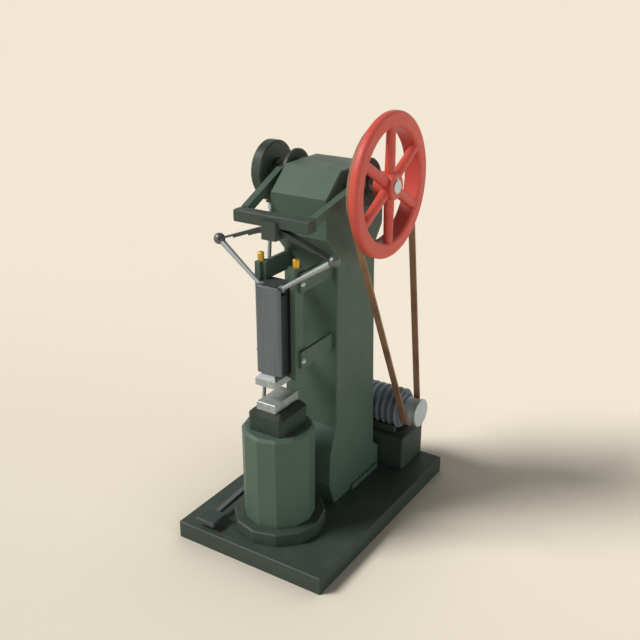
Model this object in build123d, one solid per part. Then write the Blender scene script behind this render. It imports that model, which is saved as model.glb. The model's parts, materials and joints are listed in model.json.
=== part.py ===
from build123d import *
import math
import os

# Belt-driven spring power hammer: bedplate, C-shaped frame casting, separate anvil, guided ram hung from
# a bow spring on a rocking yoke, spoked flywheel, finned motor and foot treadle.
# Frame: +X is the flywheel side, -Y the working side with the anvil, +Z up, origin under the bedplate.
# All lengths are millimetres.

# Shared clearances
running_clearance = 0.06
seat_clearance = 0.2
slide_clearance = 0.3
cut_overrun = 20.0

# Bedplate
base_width = 900.0
base_height = 96.0
base_rear_margin = 2.0
base_bevel = 4.0

# Frame casting, a constant side outline; heights are above the bedplate
frame_width = 330.0
frame_edge_bevel = 6.0
column_front_y = -68.0
head_front_y = -175.0
head_rear_y = 384.0
brow_y = -41.0
crown_rear_y = 237.0
toe_y = -85.0
foot_front_y = -133.0
shoulder_y = -120.0
column_rear_top_y = 309.0
column_rear_foot_y = 345.0
foot_rear_y = 408.0
frame_height = 1860.0
brow_drop = 117.0
nape_drop = 256.0
nose_drop = 316.0
jaw_drop = 360.0
throat_drop = 436.0
neck_drop = 452.0
column_rear_drop = 605.0
toe_height = 134.0
shoulder_height = 324.0
column_front_height = 466.0
rear_instep_height = 182.0
rear_foot_height = 132.0

# Side flanges at the frame's foot
flange_width = 17.0
flange_height = 25.0
flange_front_y = 80.0
flange_rear_y = 371.0
flange_bevel = 5.0

# Main shaft and its bearings in the head
shaft_y = 128.0
shaft_drop = 83.0
shaft_radius = 35.0
bearing_radius = 60.0
bearing_length = 70.0
bearing_flange_radius = 84.0
bearing_flange_thickness = 12.0

# Flywheel: fat rounded rim with a belt drum cast on its inner side, and a hub with tapered spokes
flywheel_x = 337.0
flywheel_radius = 363.0
rim_width = 50.0
rim_inner_radius = 285.0
rim_round = 18.0
drum_width = 40.0
drum_radius = 297.0
drum_wall = 12.0
drum_bevel = 3.0
hub_radius = 66.0
hub_bevel = 6.0
hub_inner_x = 275.0
hub_outer_x = 380.0
shaft_stub = 4.0
spoke_count = 6
spoke_hub_width = 58.0
spoke_rim_width = 52.0
spoke_hub_depth = 52.0
spoke_rim_depth = 44.0
spoke_bury_share = 0.6
spoke_seat = 12.0

# Brake disc on the shaft's other end
brake_disc_radius = 153.0
brake_disc_width = 67.0
brake_disc_inner_x = -332.0
brake_disc_bevel = 8.0
brake_hub_radius = 62.0
brake_hub_length = 20.0

# Anvil; the pedestal fills the height that the ram and dies leave
hammer_y = -377.0
anvil_sides = 12
anvil_foot_radius = 246.0
anvil_foot_height = 73.0
anvil_foot_bevel = 7.0
pedestal_radius = 189.0
pedestal_bevel = 14.0
sow_width = 210.0
sow_length = 241.0
sow_height = 118.0
sow_top_bevel = 26.0
sow_side_bevel = 16.0
die_width = 114.0
die_length = 203.0
lower_die_height = 45.0
die_bevel = 3.0
die_gap = 90.0

# Ram and upper die
upper_die_width = 122.0
upper_die_height = 59.0
upper_die_bevel = 19.0
ram_width = 148.0
ram_depth = 142.0
ram_height = 462.0
ram_top_drop = 500.0
ram_bevel = 10.0
ram_top_bevel = 6.0
ram_groove_depth = 9.0
ram_groove_width = 31.0
clevis_width = 42.0
clevis_depth = 38.0
clevis_floor = 40.0
clevis_front_wall = 13.0
pin_radius = 9.0
pin_inset = 16.0
pin_drop = 12.0
pin_seat = 10.0

# Ram guides, their brackets and oil cups
guide_gap = 12.0
guide_width = 34.0
guide_front_offset = 5.0
guide_depth = 66.0
guide_below_ram = 34.0
guide_above_ram = 88.0
guide_edge_radius = 5.0
bracket_width = 16.0
bracket_lap = 40.0
bracket_edge_radius = 4.0
upper_bracket_height = 98.0
lower_bracket_height = 92.0
lower_bracket_lift = 60.0
cup_edge_inset = 0.5
cup_stem_radius = 10.0
cup_stem_height = 8.0
cup_height = 43.0
cup_dome_height = 7.0

# Rocking yoke
crossbar_drop = 106.0
crossbar_length = 428.0
crossbar_depth = 68.0
crossbar_height = 59.0
crossbar_bevel = 5.0
journal_radius = 21.0
boss_radius = 123.0
boss_width = 28.0
boss_gap = 35.0
boss_bevel = 7.0
arm_width = 37.0
arm_height = 44.0
arm_front_x = 190.0
arm_boss_overlap = 4.0
arm_rear_y = 30.0
arm_rear_rise = 24.0

# Bow spring, its hanger and the links
hanger_width = 86.0
hanger_depth = 102.0
hanger_drop = 86.0
hanger_rise = 4.0
hanger_bevel = 5.0
leaf_drop = 34.0
leaf_bend_radius = 300.0
leaf_width = 38.0
leaf_thicknesses = (9.0, 8.0, 8.0)
leaf_half_lengths = (320.0, 236.0, 146.0)
ball_x = 333.0
ball_drop = 144.0
ball_radius = 29.0
link_radius = 15.0
link_foot_radius = 10.0
link_seat_share = 0.78
link_eye_radius = 18.0
link_eye_width = 20.0
link_eye_play = 3.0

# Motor on its block behind the column
motor_block_left_x = -30.0
motor_block_right_x = 317.0
motor_block_gap = 15.0
motor_block_depth = 257.0
motor_block_height = 200.0
motor_overhang = 1.0
motor_block_bevel = 8.0
motor_lift = 9.0
motor_left_x = -22.0
motor_pulley_gap = 6.0
motor_core_radius = 104.0
motor_rib_radius = 119.0
motor_rib_count = 7
motor_rib_share = 0.56
motor_rib_crest_share = 0.4
motor_bell_length = 8.0
motor_bell_radius = 84.0
motor_fan_cover_length = 26.0
motor_fan_cover_radius = 88.0
motor_foot_inset = 22.0
motor_foot_width = 34.0
motor_foot_offset = 82.0
motor_foot_height = 46.0
motor_shaft_radius = 16.0

# Motor pulley and belt
pulley_radius = 78.0
pulley_width = 78.0
pulley_disc_radius = 84.0
pulley_disc_thickness = 12.0
pulley_hub_radius = 40.0
belt_width = 36.0
belt_thickness = 11.0
belt_clearance = 1.0

# Treadle, its cross shaft and the brake rod
treadle_axis_y = 40.0
treadle_axis_height = 80.0
pedal_x = -285.0
pedal_lift = 44.0
pedal_width = 120.0
pedal_length = 114.0
pedal_thickness = 24.0
pedal_front_inset = 16.0
pedal_bevel = 4.0
lever_width = 27.0
lever_height = 24.0
lever_boss_radius = 27.0
treadle_shaft_radius = 14.0
treadle_bearing_width = 24.0
treadle_bearing_depth = 60.0
treadle_bearing_crown = 26.0
treadle_gap = 4.0
crank_length = 81.0
crank_thickness = 14.0
crank_boss_radius = 20.0
crank_pin_radius = 8.0
rod_radius = 11.0
rod_eye_width = 24.0
rod_eye_radius = 19.0
shoe_thickness = 14.0
shoe_half_angle = 24.0
shoe_pad_height = 20.0
shoe_pad_width = 40.0
shoe_clearance = 0.4

# Heights and places that follow from the driving sizes
base_top = base_height
motor_block_front_y = foot_rear_y + motor_block_gap
motor_block_rear_y = motor_block_front_y + motor_block_depth
motor_y = motor_block_rear_y + motor_overhang - motor_rib_radius
base_length = 2 * (motor_block_rear_y + base_rear_margin)
half_frame = frame_width / 2
frame_top = base_top + frame_height
shaft_z = frame_top - shaft_drop
ram_top = frame_top - ram_top_drop
ram_bottom = ram_top - ram_height
upper_die_bottom = ram_bottom - upper_die_height
lower_die_top = upper_die_bottom - die_gap
sow_top = lower_die_top - lower_die_height
pedestal_top = sow_top - sow_height
pedestal_foot_z = base_top + anvil_foot_height
half_ram = ram_width / 2
ram_front = hammer_y - ram_depth / 2
ram_rear = hammer_y + ram_depth / 2
guide_inner_x = half_ram + guide_gap
guide_outer_x = guide_inner_x + guide_width
guide_front = hammer_y - guide_front_offset
guide_rear = guide_front + guide_depth
guide_y = (guide_front + guide_rear) / 2
cup_radius = guide_width / 2 - cup_edge_inset
guide_bottom = ram_bottom - guide_below_ram
guide_top = ram_top + guide_above_ram
crossbar_z = shaft_z - crossbar_drop
ball_z = crossbar_z - ball_drop
clevis_front = ram_front + clevis_front_wall
clevis_rear = clevis_front + clevis_width
pin_x = half_ram - pin_inset
pin_y = (clevis_front + clevis_rear) / 2
pin_z = ram_top - pin_drop
boss_inner_x = half_frame + boss_gap
boss_outer_x = boss_inner_x + boss_width
brake_disc_outer_x = brake_disc_inner_x - brake_disc_width
brake_disc_x = (brake_disc_inner_x + brake_disc_outer_x) / 2
motor_block_top = base_top + motor_block_height
motor_z = motor_block_top + motor_rib_radius + motor_lift
rim_left_x = flywheel_x - rim_width / 2
drum_left_x = rim_left_x - drum_width
belt_x = (rim_left_x + drum_left_x) / 2
pulley_left_x = drum_left_x
pulley_right_x = pulley_left_x + pulley_width
motor_right_x = pulley_left_x - motor_pulley_gap - motor_bell_length
treadle_axis_z = base_top + treadle_axis_height
pedal_z = base_top + pedal_lift
pedal_front = -base_length / 2 + pedal_front_inset
pedal_rear = pedal_front + pedal_length
crank_pin_y = treadle_axis_y - crank_length


def span_box(x0, x1, y0, y1, z0, z1):
    """Block between two corners."""
    centre = Pos((x0 + x1) / 2, (y0 + y1) / 2, (z0 + z1) / 2)
    return centre * Box(x1 - x0, y1 - y0, z1 - z0)


def x_cylinder(radius, x0, x1, y, z):
    """Round bar along X."""
    return Pos((x0 + x1) / 2, y, z) * Cylinder(radius, x1 - x0, rotation=(0, 90, 0))


def y_cylinder(radius, y0, y1, x, z):
    """Round bar along Y."""
    return Pos(x, (y0 + y1) / 2, z) * Cylinder(radius, y1 - y0, rotation=(90, 0, 0))


def rod_between(start, end, radius):
    """Round rod from one point to another."""
    path = Vector(*end) - Vector(*start)
    plane = Plane(origin=start, z_dir=path)
    return extrude(plane * Circle(radius), path.length)


def tapered_rod(start, end, start_radius, end_radius):
    """Round rod that narrows from one point to another."""
    path = Vector(*end) - Vector(*start)
    plane = Plane(origin=start, z_dir=path)
    return loft([plane * Circle(start_radius), plane.offset(path.length) * Circle(end_radius)])


def side_prism(points, x0, x1):
    """Solid with a (y, z) outline, between two planes across X."""
    face = make_face(Polyline(*points, close=True))
    return extrude(Plane.YZ.offset(x0) * face, x1 - x0)


def turned(points, y, z):
    """Solid of revolution about an axis along X, from (x, radius) points."""
    face = make_face(Polyline(*points, close=True))
    return Pos(0, y, z) * revolve(Plane.XZ * face, Axis.X)


def mirrored(shape):
    """The same piece on the other side of the machine."""
    return mirror(shape, about=Plane.YZ)


def write(name, shape):
    export_step(shape, os.path.join("parts", name + ".step"))


def write_pair(name, right_shape):
    """A handed pair of pieces, each in its own file."""
    write(name + "_right", right_shape)
    write(name + "_left", mirrored(right_shape))


def bedplate():
    slab = span_box(-base_width / 2, base_width / 2, -base_length / 2, base_length / 2, 0, base_height)
    top = slab.edges().group_by(Axis.Z)[-1]
    uprights = slab.edges().filter_by(Axis.Z)
    return chamfer(top + uprights, base_bevel)


def frame_casting():
    """C-shaped casting: foot, column, overhanging head with a sloped brow."""
    outline = (
        (toe_y, base_top),
        (foot_front_y, base_top + toe_height),
        (shoulder_y, base_top + shoulder_height),
        (column_front_y, base_top + column_front_height),
        (column_front_y, frame_top - throat_drop),
        (head_front_y, frame_top - nose_drop),
        (head_front_y, frame_top - brow_drop),
        (brow_y, frame_top),
        (crown_rear_y, frame_top),
        (head_rear_y, frame_top - nape_drop),
        (head_rear_y, frame_top - jaw_drop),
        (column_rear_top_y, frame_top - neck_drop),
        (column_rear_top_y, frame_top - column_rear_drop),
        (column_rear_foot_y, base_top + rear_instep_height),
        (foot_rear_y, base_top + rear_foot_height),
        (foot_rear_y, base_top),
    )
    body = side_prism(outline, -half_frame, half_frame)
    sides = body.faces().filter_by(Axis.X).edges()
    floor = body.edges().group_by(Axis.Z)[0]
    body = chamfer([edge for edge in sides if edge not in floor], frame_edge_bevel)
    half_spread = half_frame + flange_width
    flanges = span_box(-half_spread, half_spread, flange_front_y, flange_rear_y,
                       base_top, base_top + flange_height)
    flanges = chamfer(flanges.edges().filter_by(Axis.Y).group_by(Axis.Z)[-1], flange_bevel)
    bore = x_cylinder(shaft_radius + slide_clearance, -frame_width, frame_width, shaft_y, shaft_z)
    return body + flanges - bore


def shaft_bearing():
    """Flanged sleeve on the head's side: the shaft runs inside, the yoke boss rocks outside."""
    bore = shaft_radius + running_clearance
    flange_x = half_frame + bearing_flange_thickness
    end_x = half_frame + bearing_length
    return turned(((half_frame, bore), (half_frame, bearing_flange_radius), (flange_x, bearing_flange_radius),
                   (flange_x, bearing_radius), (end_x, bearing_radius), (end_x, bore)), shaft_y, shaft_z)


def main_shaft():
    left = brake_disc_outer_x - shaft_stub
    right = hub_outer_x + shaft_stub
    return x_cylinder(shaft_radius, left, right, shaft_y, shaft_z)


def flywheel_spoke(angle):
    """Tapered spoke, wider and deeper at the hub, with its end cast into the rim."""
    start = hub_radius * spoke_bury_share
    end = rim_inner_radius + spoke_seat
    hub_section = Plane.XY.offset(start) * Ellipse(spoke_hub_depth / 2, spoke_hub_width / 2)
    rim_section = Plane.XY.offset(end) * Ellipse(spoke_rim_depth / 2, spoke_rim_width / 2)
    spoke = loft([hub_section, rim_section])
    return Pos(flywheel_x, shaft_y, shaft_z) * Rot(angle, 0, 0) * spoke


def flywheel_hub():
    """Hub with its spokes."""
    hub = turned((
        (hub_inner_x, 0),
        (hub_inner_x, hub_radius - hub_bevel),
        (hub_inner_x + hub_bevel, hub_radius),
        (hub_outer_x - hub_bevel, hub_radius),
        (hub_outer_x, hub_radius - hub_bevel),
        (hub_outer_x, 0),
    ), shaft_y, shaft_z)
    for index in range(spoke_count):
        hub = hub + flywheel_spoke(360 * index / spoke_count)
    bore = x_cylinder(shaft_radius + running_clearance, 0, hub_outer_x + cut_overrun, shaft_y, shaft_z)
    return hub - bore


def flywheel_rim(hub):
    """Rounded rim and belt drum in one casting around the spokes' ends."""
    middle = (flywheel_radius + rim_inner_radius) / 2
    section = RectangleRounded(rim_width, flywheel_radius - rim_inner_radius, rim_round)
    section = Pos(flywheel_x, middle) * section
    rim = Pos(0, shaft_y, shaft_z) * revolve(Plane.XZ * section, Axis.X)
    drum = turned((
        (drum_left_x, drum_radius - drum_wall),
        (drum_left_x, drum_radius - drum_bevel),
        (drum_left_x + drum_bevel, drum_radius),
        (flywheel_x, drum_radius),
        (flywheel_x, drum_radius - drum_wall),
    ), shaft_y, shaft_z)
    return rim + drum - hub


def brake_disc():
    bore = shaft_radius + running_clearance
    return turned((
        (brake_disc_outer_x, bore),
        (brake_disc_outer_x, brake_disc_radius - brake_disc_bevel),
        (brake_disc_outer_x + brake_disc_bevel, brake_disc_radius),
        (brake_disc_inner_x - brake_disc_bevel, brake_disc_radius),
        (brake_disc_inner_x, brake_disc_radius - brake_disc_bevel),
        (brake_disc_inner_x, brake_hub_radius),
        (brake_disc_inner_x + brake_hub_length, brake_hub_radius),
        (brake_disc_inner_x + brake_hub_length, bore),
    ), shaft_y, shaft_z)


def polygon_column(radius, z0, z1, bevel):
    """Many-sided column with a bevelled top rim."""
    column = Pos(0, hammer_y, z0) * extrude(RegularPolygon(radius, anvil_sides), z1 - z0)
    return chamfer(column.edges().group_by(Axis.Z)[-1], bevel)


def sow_block():
    block = span_box(-sow_width / 2, sow_width / 2, hammer_y - sow_length / 2, hammer_y + sow_length / 2,
                     pedestal_top, sow_top)
    block = chamfer(block.edges().filter_by(Axis.Z), sow_side_bevel)
    return chamfer(block.edges().group_by(Axis.Z)[-1], sow_top_bevel)


def lower_die():
    block = span_box(-die_width / 2, die_width / 2, hammer_y - die_length / 2, hammer_y + die_length / 2,
                     sow_top, lower_die_top)
    return chamfer(block.edges().group_by(Axis.Z)[-1], die_bevel)


def upper_die():
    block = span_box(-upper_die_width / 2, upper_die_width / 2, hammer_y - die_length / 2,
                     hammer_y + die_length / 2, upper_die_bottom, ram_bottom)
    block = chamfer(block.edges().group_by(Axis.Z)[-1], upper_die_bevel)
    return chamfer(block.edges().group_by(Axis.Z)[0], die_bevel)


def ram_body():
    """Ram with side grooves for the guides and two clevis slots for the links."""
    body = span_box(-half_ram, half_ram, ram_front, ram_rear, ram_bottom, ram_top)
    body = chamfer(body.edges().filter_by(Axis.Z), ram_bevel)
    body = chamfer(body.edges().group_by(Axis.Z)[-1], ram_top_bevel)
    groove = span_box(half_ram - ram_groove_depth, half_ram + cut_overrun, guide_y - ram_groove_width / 2,
                      guide_y + ram_groove_width / 2, ram_bottom - cut_overrun, ram_top + cut_overrun)
    slot = span_box(half_ram - clevis_depth, half_ram + cut_overrun, clevis_front, clevis_rear,
                    ram_top - clevis_floor, ram_top + cut_overrun)
    hole = y_cylinder(pin_radius + running_clearance, clevis_front - pin_seat, clevis_rear + pin_seat,
                      pin_x, pin_z)
    cuts = groove + slot + hole
    return body - cuts - mirrored(cuts)


def ram_pins():
    pin = y_cylinder(pin_radius, clevis_front - pin_seat, clevis_rear + pin_seat, pin_x, pin_z)
    return Compound(children=[pin, mirrored(pin)])


def guide():
    """Guide post with a tongue that runs in the ram's side groove."""
    post = span_box(guide_inner_x, guide_outer_x, guide_front, guide_rear, guide_bottom, guide_top)
    post = fillet(post.edges().filter_by(Axis.Z).group_by(Axis.Y)[0], guide_edge_radius)
    half_tongue = ram_groove_width / 2 - slide_clearance
    tip_x = half_ram - ram_groove_depth + slide_clearance
    tongue = span_box(tip_x, guide_inner_x, guide_y - half_tongue, guide_y + half_tongue,
                      guide_bottom, guide_top)
    return post + tongue


def brackets(z0, z1):
    """Two beams from the column's front face to the guides' outer sides."""
    front = guide_rear - bracket_lap
    beam = span_box(guide_outer_x, guide_outer_x + bracket_width, front, column_front_y, z0, z1)
    beam = fillet(beam.edges().filter_by(Axis.X).group_by(Axis.Y)[0], bracket_edge_radius)
    return Compound(children=[beam, mirrored(beam)])


def oil_cups():
    x = (guide_inner_x + guide_outer_x) / 2
    shoulder = cup_height - cup_dome_height
    half_section = make_face(Polyline(
        (0, 0), (cup_stem_radius, 0), (cup_stem_radius, cup_stem_height), (cup_radius, cup_stem_height),
        (cup_radius, shoulder), (cup_stem_radius, cup_height), (0, cup_height), close=True))
    cup = Pos(x, guide_y, guide_top) * revolve(Plane.XZ * half_section, Axis.Z)
    return Compound(children=[cup, mirrored(cup)])


def yoke_crossbar():
    """Square bar with a turned journal in its middle."""
    half = crossbar_length / 2
    inner = hanger_width / 2 + slide_clearance
    y0 = hammer_y - crossbar_depth / 2
    y1 = hammer_y + crossbar_depth / 2
    z0 = crossbar_z - crossbar_height / 2
    z1 = crossbar_z + crossbar_height / 2
    bar = chamfer(span_box(inner, half, y0, y1, z0, z1).edges().filter_by(Axis.X), crossbar_bevel)
    reach = half - crossbar_height
    journal = x_cylinder(journal_radius, -reach, reach, hammer_y, crossbar_z)
    return bar + mirrored(bar) + journal


def boss_disc():
    """Round plate of the yoke, before it is bored."""
    return turned((
        (boss_inner_x, 0),
        (boss_inner_x, boss_radius - boss_bevel),
        (boss_inner_x + boss_bevel, boss_radius),
        (boss_outer_x - boss_bevel, boss_radius),
        (boss_outer_x, boss_radius - boss_bevel),
        (boss_outer_x, 0),
    ), shaft_y, shaft_z)


def yoke_boss():
    """Round plate that rocks on the bearing sleeve."""
    bore = x_cylinder(bearing_radius + running_clearance, 0, boss_outer_x + cut_overrun, shaft_y, shaft_z)
    return boss_disc() - bore


def yoke_arm():
    """Splayed arm from the crossbar to the outer face of the boss."""
    front = Vector(arm_front_x, hammer_y, crossbar_z)
    rear = Vector(boss_outer_x + arm_width / 2 - arm_boss_overlap, arm_rear_y, shaft_z + arm_rear_rise)
    plane = Plane(origin=front, x_dir=(1, 0, 0), z_dir=rear - front)
    arm = extrude(plane * Rectangle(arm_width, arm_height), (rear - front).length)
    behind_bar = span_box(half_frame, boss_outer_x + frame_width, hammer_y + crossbar_depth / 2,
                          shaft_y + boss_radius, base_top, frame_top + frame_height)
    return (arm & behind_bar) - boss_disc()


def leaf_slope():
    """Angle of the bow's straight arms, whose middle line runs from the centre bend through the balls."""
    rise = ball_drop - leaf_drop - leaf_thicknesses[0] / 2
    spread = 2 * leaf_bend_radius - rise
    half_tangent = (ball_x - math.sqrt(ball_x ** 2 - rise * spread)) / spread
    return 2 * math.atan(half_tangent)


def leaf(top, bottom, half_length, width):
    """Spring leaf with a bent middle and straight arms, between two depths under the main leaf's top face."""
    slope = leaf_slope()
    top_radius = leaf_bend_radius + leaf_thicknesses[0] / 2 - top
    bottom_radius = leaf_bend_radius + leaf_thicknesses[0] / 2 - bottom
    centre_z = crossbar_z - leaf_drop - leaf_thicknesses[0] / 2 - leaf_bend_radius
    run = (half_length - leaf_bend_radius * math.sin(slope)) / math.cos(slope)

    def at(side, radius, along):
        x = radius * math.sin(slope) + along * math.cos(slope)
        return side * x, centre_z + radius * math.cos(slope) - along * math.sin(slope)

    outline = [
        ThreePointArc(at(-1, top_radius, 0), (0, centre_z + top_radius), at(1, top_radius, 0)),
        Polyline(at(1, top_radius, 0), at(1, top_radius, run), at(1, bottom_radius, run),
                 at(1, bottom_radius, 0)),
        ThreePointArc(at(1, bottom_radius, 0), (0, centre_z + bottom_radius), at(-1, bottom_radius, 0)),
        Polyline(at(-1, bottom_radius, 0), at(-1, bottom_radius, run), at(-1, top_radius, run),
                 at(-1, top_radius, 0)),
    ]
    return extrude(Plane.XZ.offset(-hammer_y - width / 2) * make_face(outline), width)


def spring_leaves():
    leaves = []
    top = 0
    for thickness, half_length in zip(leaf_thicknesses, leaf_half_lengths):
        leaves.append(leaf(top, top + thickness, half_length, leaf_width))
        top = top + thickness + seat_clearance
    return leaves


def spring_hanger():
    """Split bearing on the crossbar's journal, squared to the bar, with the leaf pack clamped below."""
    half = hanger_width / 2
    block = span_box(-half, half, hammer_y - hanger_depth / 2, hammer_y + hanger_depth / 2,
                     crossbar_z - hanger_drop, crossbar_z + hanger_rise)
    block = chamfer(block.edges().filter_by(Axis.Z), hanger_bevel)
    cap = span_box(-half, half, hammer_y - crossbar_depth / 2, hammer_y + crossbar_depth / 2,
                   crossbar_z, crossbar_z + crossbar_height / 2)
    cap = chamfer(cap.edges().filter_by(Axis.X).group_by(Axis.Z)[-1], crossbar_bevel)
    bore = x_cylinder(journal_radius + running_clearance, -half - cut_overrun, half + cut_overrun,
                      hammer_y, crossbar_z)
    pack = sum(leaf_thicknesses) + seat_clearance * len(leaf_thicknesses)
    window = leaf(-seat_clearance, pack, ball_x, leaf_width + 2 * seat_clearance)
    return block + cap - bore - window


def link_ends():
    """Centres of the right link's ball and pin."""
    return (ball_x, hammer_y, ball_z), (pin_x, pin_y, pin_z)


def spring_ball():
    ball, pin = link_ends()
    sphere = Pos(*ball) * Sphere(ball_radius)
    slot = leaf(-seat_clearance, leaf_thicknesses[0] + seat_clearance, leaf_half_lengths[0] + seat_clearance,
                leaf_width + cut_overrun)
    socket = tapered_rod(link_top(seat_clearance), pin, link_radius + seat_clearance, link_foot_radius)
    return sphere - slot - socket


def link_top(extra):
    """Point inside the ball where the link's rod ends."""
    ball, pin = link_ends()
    along = (Vector(*pin) - Vector(*ball)).normalized()
    return Vector(*ball) + along * (ball_radius * link_seat_share - extra)


def link():
    ball, pin = link_ends()
    rod = tapered_rod(link_top(0), pin, link_radius, link_foot_radius)
    half = link_eye_width / 2
    eye = y_cylinder(link_eye_radius, pin_y - half, pin_y + half, pin_x, pin_z)
    hole = y_cylinder(pin_radius + link_eye_play, pin_y - cut_overrun, pin_y + cut_overrun, pin_x, pin_z)
    return rod + eye - hole


def motor_block():
    block = span_box(motor_block_left_x, motor_block_right_x, motor_block_front_y, motor_block_rear_y,
                     base_top, motor_block_top)
    edges = block.edges().group_by(Axis.Z)[-1] + block.edges().filter_by(Axis.Z)
    return chamfer(edges, motor_block_bevel)


def motor_body():
    """Stator housing with a row of round cooling ribs."""
    pitch = (motor_right_x - motor_left_x) / motor_rib_count
    foot = pitch * motor_rib_share / 2
    crest = foot * motor_rib_crest_share
    points = [(motor_left_x, 0), (motor_left_x, motor_core_radius)]
    for index in range(motor_rib_count):
        x = motor_left_x + pitch * (index + 1 / 2)
        points += [(x - foot, motor_core_radius), (x - crest, motor_rib_radius)]
        points += [(x + crest, motor_rib_radius), (x + foot, motor_core_radius)]
    points += [(motor_right_x, motor_core_radius), (motor_right_x, 0)]
    return turned(points, motor_y, motor_z)


def motor_drive_bell():
    bore = motor_shaft_radius + running_clearance
    end = motor_right_x + motor_bell_length
    return turned(((motor_right_x, bore), (motor_right_x, motor_core_radius), (end, motor_bell_radius),
                   (end, bore)), motor_y, motor_z)


def motor_fan_cover():
    end = motor_left_x - motor_fan_cover_length
    return turned(((motor_left_x, 0), (motor_left_x, motor_core_radius), (end, motor_fan_cover_radius),
                   (end, 0)), motor_y, motor_z)


def motor_feet():
    """Two rails under the motor, hollowed to its ribs."""
    x0 = motor_left_x + motor_foot_inset
    x1 = motor_right_x - motor_foot_inset
    y0 = motor_y + motor_foot_offset - motor_foot_width / 2
    rail = span_box(x0, x1, y0, y0 + motor_foot_width, motor_block_top, motor_block_top + motor_foot_height)
    rail = rail - x_cylinder(motor_rib_radius + seat_clearance, x0 - cut_overrun, x1 + cut_overrun,
                             motor_y, motor_z)
    other = mirror(rail, about=Plane.XZ.offset(-motor_y))
    return Compound(children=[rail, other])


def motor_pulley():
    """Steel pulley with its outer disc, on the motor's shaft."""
    disc_x = pulley_right_x + pulley_disc_thickness
    hub_x = pulley_left_x - motor_pulley_gap / 2
    return turned((
        (motor_right_x + seat_clearance, 0),
        (motor_right_x + seat_clearance, motor_shaft_radius),
        (hub_x, motor_shaft_radius),
        (hub_x, pulley_hub_radius),
        (pulley_left_x, pulley_hub_radius),
        (pulley_left_x, pulley_radius),
        (pulley_right_x, pulley_radius),
        (pulley_right_x, pulley_disc_radius),
        (disc_x - die_bevel, pulley_disc_radius),
        (disc_x, pulley_disc_radius - die_bevel),
        (disc_x, 0),
    ), motor_y, motor_z)


def belt_loop(outset):
    """Filled outline of the belt, pushed out from the two pulleys by a distance."""
    big = drum_radius + outset
    small = pulley_radius + outset
    reach = math.hypot(motor_y - shaft_y, motor_z - shaft_z)
    heading = math.atan2(motor_z - shaft_z, motor_y - shaft_y)
    spread = math.acos((big - small) / reach)
    corners = []
    for turn in (spread, -spread):
        normal = (math.cos(heading + turn), math.sin(heading + turn))
        corners.append((shaft_y + big * normal[0], shaft_z + big * normal[1]))
        corners.append((motor_y + small * normal[0], motor_z + small * normal[1]))
    runs = make_face(Polyline(corners[0], corners[1], corners[3], corners[2], close=True))
    big_round = Pos(shaft_y, shaft_z) * Circle(big)
    small_round = Pos(motor_y, motor_z) * Circle(small)
    return runs + big_round + small_round


def drive_belt():
    section = belt_loop(belt_clearance + belt_thickness) - belt_loop(belt_clearance)
    return extrude(Plane.YZ.offset(belt_x - belt_width / 2) * section, belt_width)


def treadle_places():
    """X places along the treadle's cross shaft, from the rod inward."""
    rod_x = brake_disc_x
    crank_x = rod_x + rod_eye_width / 2 + treadle_gap / 2
    shaft_end = pedal_x + lever_width / 2 + treadle_gap + treadle_bearing_width + treadle_gap
    return rod_x, crank_x, shaft_end


def treadle_pedal():
    plate = span_box(pedal_x - pedal_width / 2, pedal_x + pedal_width / 2, pedal_front, pedal_rear,
                     pedal_z - pedal_thickness / 2, pedal_z + pedal_thickness / 2)
    return chamfer(plate.edges().group_by(Axis.Z)[-1], pedal_bevel)


def treadle_lever():
    """Bar that climbs from the pedal to its boss on the cross shaft."""
    x0 = pedal_x - lever_width / 2
    x1 = pedal_x + lever_width / 2
    half = lever_height / 2
    bar = side_prism(((pedal_rear, pedal_z - half), (treadle_axis_y, treadle_axis_z - half),
                      (treadle_axis_y, treadle_axis_z + half), (pedal_rear, pedal_z + half)), x0, x1)
    boss = x_cylinder(lever_boss_radius, x0, x1, treadle_axis_y, treadle_axis_z)
    bore = x_cylinder(treadle_shaft_radius + running_clearance, x0 - cut_overrun, x1 + cut_overrun,
                      treadle_axis_y, treadle_axis_z)
    return bar + boss - bore


def treadle_shaft():
    """Cross shaft with the short crank and pin that pull the brake rod."""
    rod_x, crank_x, shaft_end = treadle_places()
    crank_end = crank_x + crank_thickness
    shaft = x_cylinder(treadle_shaft_radius, crank_x, shaft_end, treadle_axis_y, treadle_axis_z)
    hub = x_cylinder(crank_boss_radius, crank_x, crank_end, treadle_axis_y, treadle_axis_z)
    tip = x_cylinder(crank_boss_radius, crank_x, crank_end, crank_pin_y, treadle_axis_z)
    web = span_box(crank_x, crank_end, crank_pin_y, treadle_axis_y, treadle_axis_z - crank_boss_radius,
                   treadle_axis_z + crank_boss_radius)
    pin = x_cylinder(crank_pin_radius, rod_x - rod_eye_width / 2 - treadle_gap, crank_x,
                     crank_pin_y, treadle_axis_z)
    return shaft + hub + tip + web + pin


def treadle_bearing(x0):
    """Pedestal with a round crown and a bore for the cross shaft."""
    x1 = x0 + treadle_bearing_width
    y0 = treadle_axis_y - treadle_bearing_depth / 2
    y1 = treadle_axis_y + treadle_bearing_depth / 2
    foot = side_prism(((y0, base_top), (y1, base_top),
                       (treadle_axis_y + treadle_bearing_crown, treadle_axis_z),
                       (treadle_axis_y - treadle_bearing_crown, treadle_axis_z)), x0, x1)
    crown = x_cylinder(treadle_bearing_crown, x0, x1, treadle_axis_y, treadle_axis_z)
    bore = x_cylinder(treadle_shaft_radius + running_clearance, x0 - cut_overrun, x1 + cut_overrun,
                      treadle_axis_y, treadle_axis_z)
    return foot + crown - bore


def treadle_bearings():
    """The cross shaft's two pedestals, one on each side of the lever."""
    outer = pedal_x - lever_width / 2 - treadle_gap - treadle_bearing_width
    inner = pedal_x + lever_width / 2 + treadle_gap
    return Compound(children=[treadle_bearing(outer), treadle_bearing(inner)])


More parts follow.
